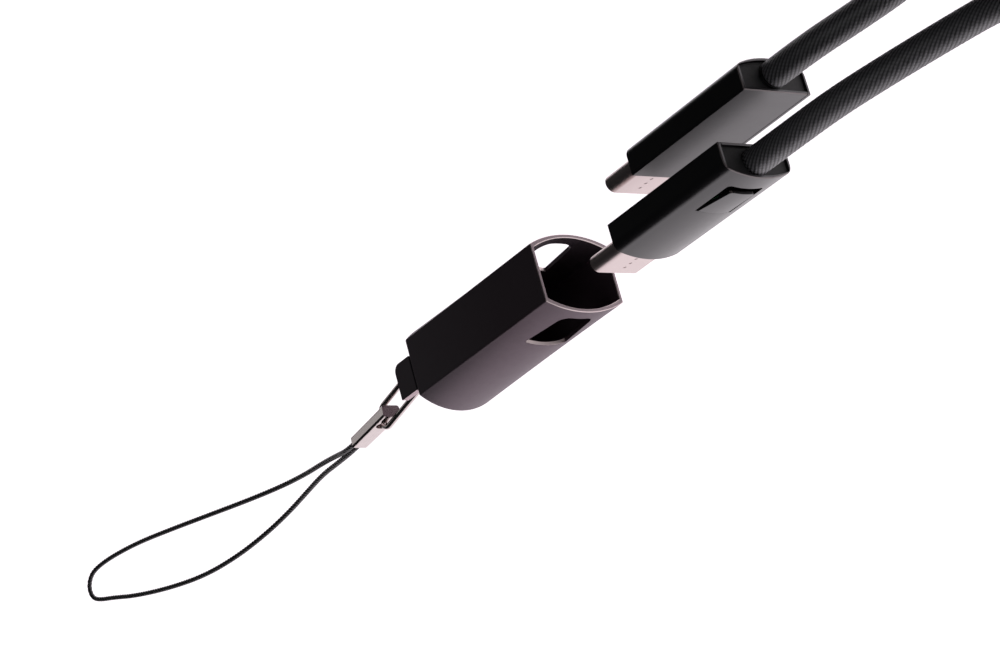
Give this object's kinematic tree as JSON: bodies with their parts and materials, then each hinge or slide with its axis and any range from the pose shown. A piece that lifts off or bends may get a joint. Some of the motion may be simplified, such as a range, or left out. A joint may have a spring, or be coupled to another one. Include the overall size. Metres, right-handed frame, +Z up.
{
  "type": "lanyard charging cable",
  "caption": "Lanyard charging lead: two flat-backed plugs on a braided cable, an arched metal cap that both plugs slide into, and a thin wrist strap on a wire ring.",
  "frame": {"origin": "centre of the flat side that the cap lies on", "axes": "+X along the cap towards its mouth, the plugs and the cable; +Z up, across the cap's width; the cap's two arched faces look along +Y and -Y"},
  "size_m": [0.3324, 0.0358, 0.0133],
  "materials": {
    "cap_metal": "satin black anodised",
    "plug_cover": "satin black anodised",
    "connector_steel": "smooth bright nickel plate",
    "connector_plastic": "moulded",
    "contact_gold": "gold flash",
    "spring_steel": "plain",
    "board_green": "solder mask",
    "component_black": "moulded",
    "mould_plastic": "moulded",
    "wire_insulation": "extruded",
    "bush_plastic": "moulded",
    "cable_braid": "woven nylon braid",
    "bright_steel": "polished",
    "strap_thread": "waxed plaited thread",
    "tie_rubber": "matt moulded"
  },
  "bodies": {
    "lead": {"plug_b_housing": "plug_cover", "plug_b_flat_cover": "plug_cover", "plug_b_usb_shell": "connector_steel", "plug_b_contact_block": "connector_plastic", "plug_b_contacts": "contact_gold", "plug_b_grip_springs": "spring_steel", "plug_b_circuit_board": "board_green", "plug_b_board_parts": "component_black", "plug_b_inner_mould": "mould_plastic", "plug_b_wires": "wire_insulation", "plug_b_rear_bush": "bush_plastic", "plug_b_cable_end": "cable_braid", "cable_a": "cable_braid", "cable_b": "cable_braid", "cable_hank": "cable_braid", "hank_tie": "tie_rubber"},
    "plug_a": {"plug_a_housing": "plug_cover", "plug_a_flat_cover": "plug_cover", "plug_a_usb_shell": "connector_steel", "plug_a_contact_block": "connector_plastic", "plug_a_contacts": "contact_gold", "plug_a_grip_springs": "spring_steel", "plug_a_circuit_board": "board_green", "plug_a_board_parts": "component_black", "plug_a_inner_mould": "mould_plastic", "plug_a_wires": "wire_insulation", "plug_a_rear_bush": "bush_plastic", "plug_a_cable_end": "cable_braid"},
    "latch_a": {"plug_a_latch_tongue": "plug_cover"},
    "latch_b": {"plug_b_latch_tongue": "plug_cover"},
    "cap": {"cap_shell": "cap_metal", "lug_pin": "spring_steel"},
    "ring": {"strap_ring": "bright_steel"},
    "strap": {"strap_crimp": "bright_steel", "strap_cord": "strap_thread"}
  },
  "joints": [
    {"name": "cap_dock", "type": "slide", "parent": "lead", "child": "cap", "axis": [1, 0, 0], "range_m": [0, 0.0355]},
    {"name": "plug_a_swing", "type": "hinge", "parent": "lead", "child": "plug_a", "pos_m": [0.05865, 0.0064, 0.00565], "axis": [0, 0, -1], "range_deg": [0, 15.01]},
    {"name": "latch_a_press", "type": "hinge", "parent": "plug_a", "child": "latch_a", "pos_m": [0.04898, 0.0086, 0.00565], "axis": [0, 0, -1], "range_deg": [0, 7], "stiffness_Nm_per_rad": 0.02},
    {"name": "latch_b_press", "type": "hinge", "parent": "lead", "child": "latch_b", "pos_m": [0.04303, -0.00465, 0.00665], "axis": [0, 0, 1], "range_deg": [0, 7], "stiffness_Nm_per_rad": 0.02},
    {"name": "ring_swing", "type": "hinge", "parent": "cap", "child": "ring", "pos_m": [-0.0176, 0, 0.0104], "axis": [0, 0, 1], "range_deg": [-25, 25]},
    {"name": "strap_lift", "type": "hinge", "parent": "ring", "child": "strap", "pos_m": [-0.0302, -0.0018, 0.0094], "axis": [-0.0116, 0.9973, -0.072], "range_deg": [0, 60]}
  ],
  "couplings": [
    {"joint": "plug_a_swing", "follows": "cap_dock", "rad_per_m": 7.375}
  ]
}
